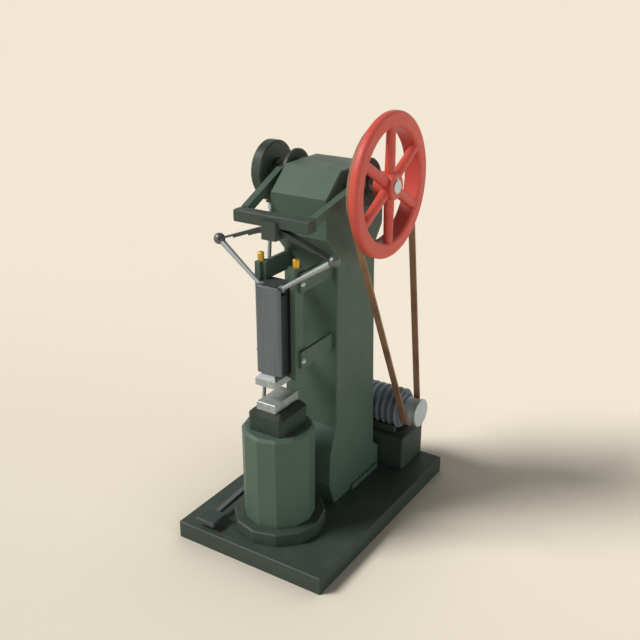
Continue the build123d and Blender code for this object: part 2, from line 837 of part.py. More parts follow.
def shoe_direction():
    """Unit vector, in the (y, z) plane, from the shaft's axis to the crank pin."""
    dy = crank_pin_y - shaft_y
    dz = treadle_axis_z - shaft_z
    reach = math.hypot(dy, dz)
    return dy / reach, dz / reach


def brake_shoe():
    """Curved shoe under the brake disc, with a pad that takes the rod's top end."""
    inner = brake_disc_radius + shoe_clearance
    outer = inner + shoe_thickness
    x0 = brake_disc_outer_x + brake_disc_bevel
    x1 = brake_disc_inner_x - brake_disc_bevel
    ring = x_cylinder(outer, x0, x1, shaft_y, shaft_z) - x_cylinder(inner, x0, x1, shaft_y, shaft_z)
    dy, dz = shoe_direction()
    heading = math.degrees(math.atan2(dz, dy))
    reach = 2 * outer
    points = [(shaft_y, shaft_z)]
    for turn in (-shoe_half_angle, shoe_half_angle):
        angle = math.radians(heading + turn)
        points.append((shaft_y + reach * math.cos(angle), shaft_z + reach * math.sin(angle)))
    shoe = ring & side_prism(points, x0, x1)
    pad_plane = Plane(origin=(brake_disc_x, shaft_y + dy * outer, shaft_z + dz * outer),
                      x_dir=(1, 0, 0), z_dir=(0, dy, dz))
    buried = shoe_thickness / 2
    pad = extrude(pad_plane.offset(-buried) * Rectangle(shoe_pad_width, shoe_pad_width), shoe_pad_height)
    return shoe + pad


def brake_rod():
    """Rod from the treadle's crank pin up to the brake shoe."""
    dy, dz = shoe_direction()
    reach = brake_disc_radius + shoe_clearance + shoe_thickness / 2 + shoe_pad_height
    top = (brake_disc_x, shaft_y + dy * reach, shaft_z + dz * reach)
    pin = (brake_disc_x, crank_pin_y, treadle_axis_z)
    x0 = brake_disc_x - rod_eye_width / 2
    x1 = brake_disc_x + rod_eye_width / 2
    eye = x_cylinder(rod_eye_radius, x0, x1, crank_pin_y, treadle_axis_z)
    hole = x_cylinder(crank_pin_radius + running_clearance, x0 - cut_overrun, x1 + cut_overrun,
                      crank_pin_y, treadle_axis_z)
    return rod_between(pin, top, rod_radius) + eye - hole


os.makedirs("parts", exist_ok=True)
write("bedplate", bedplate())
write("frame_casting", frame_casting())
write_pair("shaft_bearing", shaft_bearing())
write("main_shaft", main_shaft())
wheel_hub = flywheel_hub()
write("flywheel_hub", wheel_hub)
write("flywheel_rim", flywheel_rim(wheel_hub))
write("brake_disc", brake_disc())
write("anvil_foot", polygon_column(anvil_foot_radius, base_top, pedestal_foot_z, anvil_foot_bevel))
write("anvil_pedestal", polygon_column(pedestal_radius, pedestal_foot_z, pedestal_top, pedestal_bevel))
write("sow_block", sow_block())
write("lower_die", lower_die())
write("upper_die", upper_die())
write("ram", ram_body())
write("ram_pins", ram_pins())
write_pair("guide", guide())
upper_bracket_top = frame_top - throat_drop
lower_bracket_bottom = guide_bottom + lower_bracket_lift
write("upper_brackets", brackets(upper_bracket_top - upper_bracket_height, upper_bracket_top))
write("lower_brackets", brackets(lower_bracket_bottom, lower_bracket_bottom + lower_bracket_height))
write("oil_cups", oil_cups())
write("yoke_crossbar", yoke_crossbar())
write_pair("yoke_boss", yoke_boss())
write_pair("yoke_arm", yoke_arm())
write("spring_hanger", spring_hanger())
main_leaf, *helper_leaves = spring_leaves()
write("main_leaf", main_leaf)
write("helper_leaves", Compound(children=helper_leaves))
write_pair("spring_ball", spring_ball())
write_pair("link", link())
write("motor_block", motor_block())
write("motor_body", motor_body())
write("motor_drive_bell", motor_drive_bell())
write("motor_fan_cover", motor_fan_cover())
write("motor_feet", motor_feet())
write("motor_pulley", motor_pulley())
write("drive_belt", drive_belt())
write("treadle_pedal", treadle_pedal())
write("treadle_lever", treadle_lever())
write("treadle_shaft", treadle_shaft())
write("treadle_bearings", treadle_bearings())
write("brake_shoe", brake_shoe())
write("brake_rod", brake_rod())
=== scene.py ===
import json
import math

import bmesh
import bpy
from mathutils import Matrix, Vector


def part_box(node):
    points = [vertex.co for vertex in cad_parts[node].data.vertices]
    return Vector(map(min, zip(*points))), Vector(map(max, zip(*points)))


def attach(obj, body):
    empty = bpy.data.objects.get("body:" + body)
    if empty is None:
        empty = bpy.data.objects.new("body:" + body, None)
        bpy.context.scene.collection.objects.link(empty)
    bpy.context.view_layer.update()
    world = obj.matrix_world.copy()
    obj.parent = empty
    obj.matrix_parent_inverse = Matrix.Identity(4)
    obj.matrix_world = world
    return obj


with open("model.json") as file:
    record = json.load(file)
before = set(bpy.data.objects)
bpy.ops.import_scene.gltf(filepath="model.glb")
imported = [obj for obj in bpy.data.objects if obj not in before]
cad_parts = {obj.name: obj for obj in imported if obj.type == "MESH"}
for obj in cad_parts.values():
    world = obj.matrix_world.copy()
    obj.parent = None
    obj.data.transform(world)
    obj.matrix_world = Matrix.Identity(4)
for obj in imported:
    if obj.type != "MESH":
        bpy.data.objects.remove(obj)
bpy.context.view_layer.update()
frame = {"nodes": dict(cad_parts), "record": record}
NODES = frame["nodes"]

MM = 0.001

# Camera, fitted to the photograph's viewing angle
CAMERA_PLACE = (2.3566, -3.6563, 2.9211)
CAMERA_AZIMUTH = 32.64
CAMERA_ELEVATION = 22.37
LENS_MM = 50.0
SENSOR_MM = 36.0

# Colours of the pieces, as sRGB bytes
FRAME_GREEN = (73, 92, 82)
DARK_GREEN = (55, 66, 60)
YOKE_GREEN = (59, 70, 64)
WHEEL_RED = (203, 83, 73)
BRIGHT_STEEL = (190, 199, 205)
LINK_STEEL = (160, 168, 170)
PULLEY_STEEL = (196, 205, 211)
SHAFT_END_STEEL = (206, 211, 216)
LOWER_DIE_STEEL = (166, 172, 172)
UPPER_DIE_STEEL = (166, 172, 174)
RAM_STEEL = (100, 107, 112)
SPRING_STEEL = (60, 66, 68)
BALL_STEEL = (102, 108, 110)
LEVER_STEEL = (104, 110, 114)
BRASS = (222, 178, 66)
BELT_BROWN = (150, 116, 90)
MOTOR_GREY = (107, 117, 126)
TREADLE_IRON = (60, 69, 67)

# Colours of wear and dirt, of painted shade, and of the stage
BARE_IRON = (118, 122, 120)
# Dark colour of painted shade, in corners and on upward slopes
PAINTED_SHADE = (24, 27, 24)
DUST = (150, 152, 140)
FORGE_SCALE = (52, 54, 56)
PAINTED_SIDE_SHADE = (30, 34, 34)
# Dark colour of painted shade on the sides and ends of steel
TARNISH = (140, 98, 38)
RUBBED_BRASS = (240, 205, 110)
BELT_GREASE = (66, 42, 30)
WORN_LEATHER = (172, 128, 92)
CREAM = (248, 239, 223)

# Streaks of the brushed steels and fibres of the belt: how fine they are along X, Y and Z
BRUSHED_ALONG_X = (12.0, 300.0, 300.0)
BRUSHED_ALONG_Y = (300.0, 12.0, 300.0)
BRUSHED_ALONG_Z = (400.0, 400.0, 14.0)
BRUSHED_COARSE_Z = (90.0, 90.0, 3.0)
BRUSHED_END = (60.0, 300.0, 300.0)
BRUSHED_EVEN = (200.0, 200.0, 200.0)
BELT_FIBRES = (700.0, 60.0, 40.0)

# How far wear reaches from an edge, and painted shade from a corner
PAINT_EDGE = 4 * MM
STEEL_EDGE = 3 * MM
BRASS_EDGE = 2 * MM
BELT_EDGE = 3 * MM
PAINT_CORNER = 50 * MM
STEEL_CORNER = 30 * MM

# Bolts: thread diameters, and where they sit on the pieces that carry them
BRACKET_BOLT = 12 * MM
BRACKET_BOLT_INSET = 13 * MM
BRACKET_BOLT_DROP = 7 * MM
FLANGE_BOLT = 7.4 * MM
FLANGE_BOLT_INSET = 8.5 * MM
FLANGE_BOLT_PLACES = (108 * MM, 225 * MM, 343 * MM)
FLANGE_HEIGHT = 25 * MM
BEARING_BOLT = 8 * MM
BEARING_BOLT_CIRCLE = 72 * MM
BEARING_FLANGE = 12 * MM
MOTOR_BOLT = 6 * MM
MOTOR_BOLT_INSET_X = 24 * MM
MOTOR_BOLT_INSET_Y = 7 * MM
DISC_BOLT = 11 * MM
DISC_BOLT_CIRCLE = 62 * MM
BOLTS_IN_RING = 6

# Shape of a bolt, as shares of its thread's diameter
WASHER_RADIUS_SHARE = 1.1
WASHER_CROWN_SHARE = 1.05
WASHER_EDGE_SHARE = 0.14
WASHER_HEIGHT_SHARE = 0.18
HEAD_RADIUS_SHARE = 0.92
HEAD_EDGE_SHARE = 0.5
HEAD_HEIGHT_SHARE = 0.62
# Crown of the head, as a share of the head's radius
HEAD_CROWN_SHARE = 0.84

# Main shaft's ends and the key in the wheel's hub
SHAFT_CAP_GAP = 0.4 * MM
SHAFT_CAP_DEPTH = 2 * MM
SHAFT_CAP_EDGE = 0.6 * MM
SHAFT_CAP_HEIGHT = 2 * MM
SHAFT_CAP_RIM_INSET = 2 * MM
CENTRE_HOLE_RADIUS = 8 * MM
CENTRE_HOLE_FLOOR = 0.4 * MM
CENTRE_HOLE_FLOOR_RADIUS = 3 * MM
KEY_HALF_WIDTH = 8 * MM
KEY_HEIGHT = 9 * MM
KEY_DEPTH = 6 * MM
KEY_PROUD = 2.4 * MM
KEY_BEVEL = 1 * MM

# Ribs across the pedal
RIB_COUNT = 7
RIB_START = 14 * MM
RIB_PITCH = 14.4 * MM
RIB_HALF_WIDTH = 2.6 * MM
RIB_INSET = 12 * MM
RIB_DEPTH = 2 * MM
RIB_HEIGHT = 2.4 * MM
RIB_BEVEL = 1.2 * MM

# Oil cups' lids and collars
LID_HEIGHT = 11 * MM
LID_SKIRT = 11.6 * MM
LID_SKIRT_INSET = 0.4 * MM
LID_PROUD = 0.2 * MM
LID_SLOPE = 3 * MM
LID_CROWN = 0.4 * MM
LID_CROWN_INSET = 2.6 * MM
LID_KNURL = 0.25 * MM
CUP_COLLAR_INSET = 0.8 * MM
CUP_COLLAR_HEIGHT = 9 * MM

# Fan grille
GRILLE_RADII = (24 * MM, 40 * MM, 56 * MM, 72 * MM)
GRILLE_WIRE = 3 * MM
GRILLE_BARS = 6
HOOP_STEPS = 48
HOOP_SIDES = 8

# Link pins, brake rod, belt lacing and treadle shaft
PIN_INSET = 9 * MM
ROD_EYE_RADIUS = 19 * MM
ROD_TOP_TO_SHAFT = 180.4 * MM
LOCK_NUT_DROPS = (21 * MM, 37 * MM)
LACE_COUNT = 6
LACE_HALF_LENGTH = 9 * MM
LACE_SUNK = 0.6 * MM
TREADLE_AXIS_DROP = 26 * MM
COLLAR_OVERLAP = 4 * MM
CRANK_EYE_RADIUS = 20 * MM

# Turned profiles, as (height, radius) in millimetres
PIN_HEAD_PROFILE = ((-1, 6.4), (1.2, 6.4), (2.4, 5.2), (2.4, 1.8), (1.4, 1))
GRILLE_BAR_PROFILE = ((10, 2.6), (11, 3.2), (76, 3.2), (77, 2.6))
LOCK_NUT_PROFILE = ((0, 17), (1.5, 19), (11.5, 19), (13, 17))
LACE_PROFILE = ((0, 1.2), (1.5, 1.9), (16.5, 1.9), (18, 1.2))
SHAFT_COLLAR_PROFILE = ((0, 15), (0, 19), (1, 20), (9, 20), (10, 19), (10, 8))
CRANK_COLLAR_PROFILE = ((0, 8), (0, 12), (1, 13), (6, 13), (7, 12), (7, 4))

# Stage: floor, backdrop and lights
FLOOR_REACH = 120.0
FLOOR_FADE_NEAR = -3.2
# Painted shadow towards the front of the floor, and painted shade close to the machine
FLOOR_FADE_FAR = 2.2
FLOOR_NEAR_GAIN = 0.86
FLOOR_SHADE_REACH = 1.0
FLOOR_SHADE_GAIN = 0.3
FLOOR_SHADE = 0.5
HORIZON_GAIN = 0.93
ZENITH_GAIN = 0.03
HORIZON_HEIGHT = 0.06
ZENITH_HEIGHT = 0.4
LAMP_DISTANCE = 8.0


def linear(colour, gain=1.0):
    """sRGB bytes to a linear RGBA colour, times a gain."""
    channels = []
    for byte in colour:
        value = byte / 255
        level = value / 12.92 if value <= 0.04045 else ((value + 0.055) / 1.055) ** 2.4
        channels.append(gain * level)
    return (*channels, 1.0)


class Shader:
    """A material's node tree, with short calls for the nodes used here."""

    def __init__(self, name):
        self.material = bpy.data.materials.new(name)
        self.material.use_nodes = True
        self.tree = self.material.node_tree
        self.bsdf = self.tree.nodes["Principled BSDF"]
        self.place = self.node("ShaderNodeTexCoord").outputs["Object"]

    def node(self, kind, **settings):
        made = self.tree.nodes.new(kind)
        for key, value in settings.items():
            setattr(made, key, value)
        return made

    def link(self, source, target):
        self.tree.links.new(source, target)

    def feed(self, socket, value):
        """A number, colour or another node's output into a socket."""
        if isinstance(value, bpy.types.NodeSocket):
            self.link(value, socket)
        else:
            socket.default_value = value

    def stretched(self, scale):
        mapping = self.node("ShaderNodeMapping")
        self.link(self.place, mapping.inputs["Vector"])
        mapping.inputs["Scale"].default_value = scale
        return mapping.outputs["Vector"]

    def noise(self, scale, detail=4.0, roughness=0.55, vector=None):
        made = self.node("ShaderNodeTexNoise")
        self.link(vector or self.place, made.inputs["Vector"])
        made.inputs["Scale"].default_value = scale
        made.inputs["Detail"].default_value = detail
        made.inputs["Roughness"].default_value = roughness
        return made.outputs["Fac"]

    def streaks(self, scale, detail, roughness):
        """Noise drawn out by a scale for each axis."""
        return self.noise(1.0, detail, roughness, self.stretched(scale))

    def math(self, operation, a, b):
        made = self.node("ShaderNodeMath", operation=operation, use_clamp=True)
        self.feed(made.inputs[0], a)
        self.feed(made.inputs[1], b)
        return made.outputs[0]

    def times(self, a, b):
        return self.math("MULTIPLY", a, b)

    def band(self, value, low, high, out_low=0.0, out_high=1.0):
        """Smooth step of a value between two levels."""
        made = self.node("ShaderNodeMapRange", interpolation_type="SMOOTHSTEP")
        self.feed(made.inputs["Value"], value)
        made.inputs["From Min"].default_value = low
        made.inputs["From Max"].default_value = high
        made.inputs["To Min"].default_value = out_low
        made.inputs["To Max"].default_value = out_high
        return made.outputs["Result"]

    def mix(self, factor, a, b):
        made = self.node("ShaderNodeMix", data_type="RGBA")
        self.feed(made.inputs["Factor"], factor)
        self.feed(made.inputs["A"], a)
        self.feed(made.inputs["B"], b)
        return made.outputs["Result"]

    def normal(self):
        return self.node("ShaderNodeNewGeometry").outputs["Normal"]

    def edges(self, radius):
        """How far the surface turns within a short distance: high along sharp edges."""
        bevel = self.node("ShaderNodeBevel", samples=4)
        bevel.inputs["Radius"].default_value = radius
        dot = self.node("ShaderNodeVectorMath", operation="DOT_PRODUCT")
        self.link(bevel.outputs["Normal"], dot.inputs[0])
        self.link(self.normal(), dot.inputs[1])
        return self.math("SUBTRACT", 1.0, dot.outputs["Value"])

    def crevices(self, distance):
        """High where a surface is close to another one."""
        made = self.node("ShaderNodeAmbientOcclusion", samples=6)
        made.inputs["Distance"].default_value = distance
        return self.math("SUBTRACT", 1.0, made.outputs["AO"])

    def along(self, vector, axis):
        split = self.node("ShaderNodeSeparateXYZ")
        self.link(vector, split.inputs[0])
        return split.outputs[axis]

    def facing(self, axis):
        """How squarely the surface faces either way along an axis."""
        size = self.node("ShaderNodeMath", operation="ABSOLUTE")
        self.link(self.along(self.normal(), axis), size.inputs[0])
        return size.outputs[0]

    def upward(self):
        """High on faces that look up."""
        return self.band(self.along(self.normal(), "Z"), 0.5, 1.0)

    def slopes(self):
        """High on faces that slope upward, low on upright and level ones."""
        rise = self.along(self.normal(), "Z")
        return self.math("SUBTRACT", self.band(rise, 0.2, 0.55), self.band(rise, 0.85, 1.0))

    def slope_shaded(self, base, slope_shade):
        """A colour darkened on its upward slopes: painted shade that tones down the light they catch."""
        return self.mix(self.times(self.slopes(), slope_shade), base, linear(PAINTED_SHADE))

    def bump(self, height, strength, distance):
        made = self.node("ShaderNodeBump")
        made.inputs["Strength"].default_value = strength
        made.inputs["Distance"].default_value = distance
        self.link(height, made.inputs["Height"])
        self.link(made.outputs["Normal"], self.bsdf.inputs["Normal"])

    def set(self, **values):
        for key, value in values.items():
            self.feed(self.bsdf.inputs[key.replace("_", " ")], value)


def paint(name, colour, roughness=0.5, cast=0.35, chips=0.5, shade_and_grime=0.6, rub=0.1, slope_shade=0.0, gloss=0.3):
    """Enamel over cast iron: mottling, painted shade in corners broken into patches like grime, worn edges,
    and painted shade on upward slopes where asked.
    """
    s = Shader(name)
    mottle = s.band(s.noise(scale=2.2, detail=3.0), low=0.3, high=0.7)
    base = s.mix(mottle, linear(colour, gain=0.94), linear(colour, gain=1.06))
    speckle = s.band(s.noise(scale=38.0, detail=5.0), low=0.35, high=0.75, out_high=0.25)
    base = s.mix(speckle, base, linear(colour, gain=1.2))
    dust = s.band(s.noise(scale=6.0), low=0.35, high=0.8, out_high=0.05)
    base = s.mix(s.times(s.upward(), dust), base, linear(DUST))
    # Painted shade: surfaces close to another one are darkened, in patches like grime
    patchy = s.band(s.noise(scale=14.0), low=0.2, high=0.7, out_low=0.4)
    corner_shade_and_grime = s.times(s.band(s.crevices(PAINT_CORNER), low=0.25, high=0.9), patchy)
    base = s.mix(s.times(corner_shade_and_grime, shade_and_grime), base, linear(PAINTED_SHADE))
    edge = s.edges(PAINT_EDGE)
    rubbed = s.band(edge, low=0.01, high=0.12, out_high=rub)
    base = s.mix(rubbed, base, linear(colour, gain=1.7))
    flaking = s.band(s.noise(scale=55.0, detail=6.0, roughness=0.7), low=0.56, high=0.64)
    chipped = s.times(s.band(edge, low=0.02, high=0.12), flaking)
    base = s.mix(s.times(chipped, chips), base, linear(BARE_IRON))
    # Painted shade on upward slopes, where asked
    if slope_shade:
        base = s.slope_shaded(base, slope_shade)
    s.set(Base_Color=base, Specular_IOR_Level=gloss)
    uneven = s.noise(scale=9.0)
    s.set(Roughness=s.band(uneven, 0.2, 0.8, out_low=roughness - 0.07, out_high=roughness + 0.1))
    fine = s.times(s.noise(scale=160.0, detail=3.0), 0.6)
    coarse = s.times(s.noise(scale=34.0), 0.4)
    s.bump(s.math("ADD", fine, coarse), strength=cast, distance=1.2 * MM)
    return s.material


def steel(name, colour, roughness=0.42, metallic=0.75, brushed=BRUSHED_ALONG_Z, flakes=0.0, side_shade=0.0,
          rub=0.35, slope_shade=0.0):
    """Machined steel: brushed streaks, faint stains, painted shade in corners, rubbed edges; forge scale,
    and painted shade on the sides, ends and upward slopes where asked.
    """
    s = Shader(name)
    streak = s.streaks(brushed, detail=4.0, roughness=0.6)
    base = s.mix(s.band(streak, 0.3, 0.7), linear(colour, gain=0.88), linear(colour, gain=1.1))
    stain = s.noise(scale=16.0, detail=5.0, roughness=0.65)
    base = s.mix(s.band(stain, 0.52, 0.78, out_high=0.3), base, linear(colour, gain=0.6))
    if flakes:
        patches = s.noise(scale=30.0, detail=6.0, roughness=0.7)
        base = s.mix(s.band(patches, 0.45, 0.6, out_high=flakes), base, linear(FORGE_SCALE))
    # Painted shade: faces along X darkened by the given share, faces along Z by up to half
    if side_shade:
        sides = s.band(s.facing("X"), 0.8, 1.0, out_high=side_shade)
        ends = s.band(s.facing("Z"), 0.5, 1.0, out_high=0.5)
        base = s.mix(s.math("MAXIMUM", sides, ends), base, linear(PAINTED_SIDE_SHADE))
    # Painted shade: surfaces close to another one are darkened
    base = s.mix(s.band(s.crevices(STEEL_CORNER), 0.3, 0.95, out_high=0.6), base, linear(PAINTED_SHADE))
    rubbed = s.band(s.edges(STEEL_EDGE), 0.01, 0.12, out_high=rub)
    base = s.mix(rubbed, base, linear(colour, gain=1.6))
    # Painted shade on upward slopes, where asked
    if slope_shade:
        base = s.slope_shaded(base, slope_shade)
    s.set(Base_Color=base, Metallic=metallic)
    s.set(Roughness=s.band(streak, 0.25, 0.75, out_low=roughness - 0.08, out_high=roughness + 0.12))
    s.bump(streak, strength=0.12, distance=0.6 * MM)
    return s.material


def brass_metal(name):
    """Brass with brown tarnish and bright edges."""
    s = Shader(name)
    tarnish = s.noise(scale=45.0, detail=5.0)
    base = s.mix(s.band(tarnish, 0.4, 0.75, out_high=0.3), linear(BRASS), linear(TARNISH))
    base = s.mix(s.band(s.edges(BRASS_EDGE), 0.01, 0.15, out_high=0.5), base, linear(RUBBED_BRASS))
    s.set(Base_Color=base, Metallic=0.7)
    s.set(Roughness=s.band(s.noise(scale=60.0), 0.2, 0.8, out_low=0.3, out_high=0.5))
    s.bump(s.noise(scale=260.0, detail=2.0), strength=0.08, distance=0.4 * MM)
    return s.material


def belt_leather(name):
    """Oiled leather: fibres along the belt, darker greased patches, pale worn edges."""
    s = Shader(name)
    fibre = s.streaks(BELT_FIBRES, detail=5.0, roughness=0.65)
    base = s.mix(s.band(fibre, 0.3, 0.7), linear(BELT_BROWN, gain=0.78), linear(BELT_BROWN, gain=1.15))
    base = s.mix(s.band(s.noise(scale=7.0), 0.5, 0.75, out_high=0.5), base, linear(BELT_GREASE))
    base = s.mix(s.band(s.edges(BELT_EDGE), 0.02, 0.2, out_high=0.45), base, linear(WORN_LEATHER))
    s.set(Base_Color=base, Specular_IOR_Level=0.3)
    s.set(Roughness=s.band(s.noise(scale=20.0), 0.2, 0.8, out_low=0.55, out_high=0.75))
    s.bump(fibre, strength=0.3, distance=1 * MM)
    return s.material


MATERIALS = {
    "frame_green": paint("frame_paint", FRAME_GREEN, shade_and_grime=0.4),
    "dark_green": paint("dark_paint", DARK_GREEN),
    # Yoke and sow block carry painted shade on their upward slopes
    "yoke_green": paint("yoke_paint", YOKE_GREEN, slope_shade=0.5),
    "sow_green": paint("sow_paint", DARK_GREEN, slope_shade=0.5, gloss=0.08),
    "wheel_red": paint("red_paint", WHEEL_RED, roughness=0.42, cast=0.2, shade_and_grime=0.15),
    "motor_grey": paint("motor_paint", MOTOR_GREY, roughness=0.45, shade_and_grime=0.25),
    "treadle_iron": paint("treadle_paint", TREADLE_IRON, roughness=0.55, chips=0.9),
    "bright_steel": steel("bright_steel", BRIGHT_STEEL),
    "die_steel": steel("die_steel", LOWER_DIE_STEEL, roughness=0.5, metallic=0.5, flakes=0.25),
    # The upper die carries forge scale and painted shade on its upward slopes
    "die_with_slope_shade": steel("die_with_slope_shade", UPPER_DIE_STEEL, roughness=0.5, metallic=0.5, flakes=0.2, slope_shade=0.55),
    "pulley_steel": steel("pulley_steel", PULLEY_STEEL, roughness=0.45, metallic=0.4),
    "link_steel": steel("link_steel", LINK_STEEL, roughness=0.5, metallic=0.6),
    "shaft_end": steel("shaft_end", SHAFT_END_STEEL, roughness=0.4, metallic=0.25, brushed=BRUSHED_END),
    # The ram carries painted shade on its sides, ends and upward slopes
    "ram_steel": steel("ram_steel", RAM_STEEL, roughness=0.48, metallic=0.4, brushed=BRUSHED_COARSE_Z,
                       side_shade=0.8, rub=0.0, slope_shade=0.75),
    "spring_steel": steel("spring_steel", SPRING_STEEL, roughness=0.45, metallic=0.5,
                          brushed=BRUSHED_ALONG_X),
    "ball_steel": steel("ball_steel", BALL_STEEL, roughness=0.38, metallic=0.6, brushed=BRUSHED_EVEN),
    "lever_steel": steel("lever_steel", LEVER_STEEL, roughness=0.42, metallic=0.5,
                         brushed=BRUSHED_ALONG_Y),
    "oil_brass": brass_metal("oil_brass"),
    "belt_leather": belt_leather("belt_leather"),
}

# Nodes whose look differs from the finish of their slot
LOOKS = {
    "ram": "ram_steel",
    "upper_die": "die_with_slope_shade",
    "sow_block": "sow_green",
    "link_left": "link_steel",
    "link_right": "link_steel",
    "brake_rod": "link_steel",
    # Motor feet in the block's dark green, partly painted shade: dark enough to stand in for the shade under
    # the motor
    "motor_feet": "dark_green",
    "motor_pulley": "pulley_steel",
    "anvil_pedestal": "frame_green",
    "brake_shoe": "dark_green",
    "brake_disc": "yoke_green",
    "yoke_crossbar": "yoke_green",
    "spring_hanger": "yoke_green",
    "spring_ball_left": "ball_steel",
    "spring_ball_right": "ball_steel",
    "treadle_lever": "lever_steel",
}


def dress_nodes():
    for part in frame["record"]["subparts"]:
        node = NODES[part["node"]]
        look = LOOKS.get(part["node"], part["material_slot"])
        node.data.materials.clear()
        node.data.materials.append(MATERIALS[look])


def add_piece(name, mesh_builder, body, slot, look=None):
    """A mesh made by a function that fills a bmesh, riding on a body."""
    mesh = bpy.data.meshes.new(name)
    shape = bmesh.new()
    mesh_builder(shape)
    bmesh.ops.recalc_face_normals(shape, faces=shape.faces)
    shape.to_mesh(mesh)
    shape.free()
    mesh.materials.append(MATERIALS[look or slot])
    piece = bpy.data.objects.new(name, mesh)
    bpy.context.scene.collection.objects.link(piece)
    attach(piece, body)


def centre_of(node):
    """Middle of a node's box at rest."""
    low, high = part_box(node)
    return (Vector(low) + Vector(high)) / 2


def in_metres(profile):
    return [(height * MM, radius * MM) for height, radius in profile]


def turned_stack(shape, place, axis, rings, sides, knurl=0.0):
    """Closed solid through rings of (height, radius), standing on a place along an axis."""
    turn = Vector((0, 0, 1)).rotation_difference(Vector(axis)).to_matrix().to_4x4()
    matrix = Matrix.Translation(place) @ turn
    loops = []
    for height, radius in rings:
        loop = []
        for index in range(sides):
            angle = 2 * math.pi * index / sides
            reach = radius - knurl * (index % 2)
            point = Vector((reach * math.cos(angle), reach * math.sin(angle), height))
            loop.append(shape.verts.new(matrix @ point))
        loops.append(loop)
    for lower, upper in zip(loops, loops[1:]):
        for index in range(sides):
            following = (index + 1) % sides
            shape.faces.new((lower[index], lower[following], upper[following], upper[index]))
    shape.faces.new(list(reversed(loops[0])))
    shape.faces.new(loops[-1])


def hex_bolt(shape, place, axis, size):
    """Washer and hexagon head with a chamfered crown; size is the thread's diameter."""
    washer = [
        (0.0, size * WASHER_RADIUS_SHARE),
        (size * WASHER_EDGE_SHARE, size * WASHER_RADIUS_SHARE),
        (size * WASHER_HEIGHT_SHARE, size * WASHER_CROWN_SHARE),
    ]
    turned_stack(shape, place, axis, washer, sides=24)
    foot = Vector(place) + Vector(axis).normalized() * size * WASHER_HEIGHT_SHARE
    radius = size * HEAD_RADIUS_SHARE
    head = [
        (0.0, radius),
        (size * HEAD_EDGE_SHARE, radius),
        (size * HEAD_HEIGHT_SHARE, radius * HEAD_CROWN_SHARE),
    ]
    turned_stack(shape, foot, axis, head, sides=6)


def bar(shape, low, high, bevel):
    """Block between two corners with its edges bevelled."""
    size = Vector(high) - Vector(low)
    middle = (Vector(high) + Vector(low)) / 2
    matrix = Matrix.Translation(middle) @ Matrix.Diagonal((*size, 1.0))
    made = bmesh.ops.create_cube(shape, size=1.0, matrix=matrix)
    edges = {edge for vert in made["verts"] for edge in vert.link_edges}
    bmesh.ops.bevel(shape, geom=list(edges), offset=bevel, segments=2, affect="EDGES", profile=0.7)


def hoop(shape, centre, radius, thickness):
    """Round wire ring about an axis along X."""
    loops = []
    for index in range(HOOP_STEPS):
        angle = 2 * math.pi * index / HOOP_STEPS
        loop = []
        for corner in range(HOOP_SIDES):
            turn = 2 * math.pi * corner / HOOP_SIDES
            reach = radius + thickness * math.cos(turn)
            offset = (thickness * math.sin(turn), reach * math.cos(angle), reach * math.sin(angle))
            loop.append(shape.verts.new(centre + Vector(offset)))
        loops.append(loop)
    for index, loop in enumerate(loops):
        other = loops[(index + 1) % HOOP_STEPS]
        for corner in range(HOOP_SIDES):
            following = (corner + 1) % HOOP_SIDES
            shape.faces.new((loop[corner], loop[following], other[following], other[corner]))


def bolt_ring(shape, centre, axis, radius, size, start):
    """Bolts round a circle about an axis along X."""
    for index in range(BOLTS_IN_RING):
        angle = start + 2 * math.pi * index / BOLTS_IN_RING
        offset = Vector((0, radius * math.cos(angle), radius * math.sin(angle)))
        hex_bolt(shape, centre + offset, axis, size)


def bracket_bolts(shape):
    for name in ("upper_brackets", "lower_brackets"):
        low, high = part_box(name)
        for x, sign in ((low.x, -1), (high.x, 1)):
            place = (x, low.y + BRACKET_BOLT_INSET, (low.z + high.z) / 2 - BRACKET_BOLT_DROP)
            hex_bolt(shape, place, (sign, 0, 0), BRACKET_BOLT)


def flange_bolts(shape):
    """Holding-down bolts along the two flanges at the frame's foot."""
    low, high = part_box("frame_casting")
    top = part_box("bedplate")[1].z + FLANGE_HEIGHT
    for x in (low.x + FLANGE_BOLT_INSET, high.x - FLANGE_BOLT_INSET):
        for y in FLANGE_BOLT_PLACES:
            hex_bolt(shape, (x, y, top), (0, 0, 1), FLANGE_BOLT)


def bearing_bolts(shape):
    """Bolts on the flanges of the main shaft's two bearings."""
    for side, sign in (("left", -1), ("right", 1)):
        low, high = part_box(f"shaft_bearing_{side}")
        centre = centre_of(f"shaft_bearing_{side}")
        centre.x = (high.x if sign < 0 else low.x) + sign * BEARING_FLANGE
        bolt_ring(shape, centre, (sign, 0, 0), BEARING_BOLT_CIRCLE, BEARING_BOLT, start=math.radians(30))


def motor_bolts(shape):
    low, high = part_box("motor_feet")
    for x in (low.x + MOTOR_BOLT_INSET_X, high.x - MOTOR_BOLT_INSET_X):
        for y in (low.y + MOTOR_BOLT_INSET_Y, high.y - MOTOR_BOLT_INSET_Y):
            hex_bolt(shape, (x, y, high.z), (0, 0, 1), MOTOR_BOLT)


def disc_bolts(shape):
    """Bolts on the brake disc's outer face, round the shaft."""
    centre = centre_of("brake_disc")
    centre.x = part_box("brake_disc")[0].x
    bolt_ring(shape, centre, (-1, 0, 0), DISC_BOLT_CIRCLE, DISC_BOLT, start=0.0)


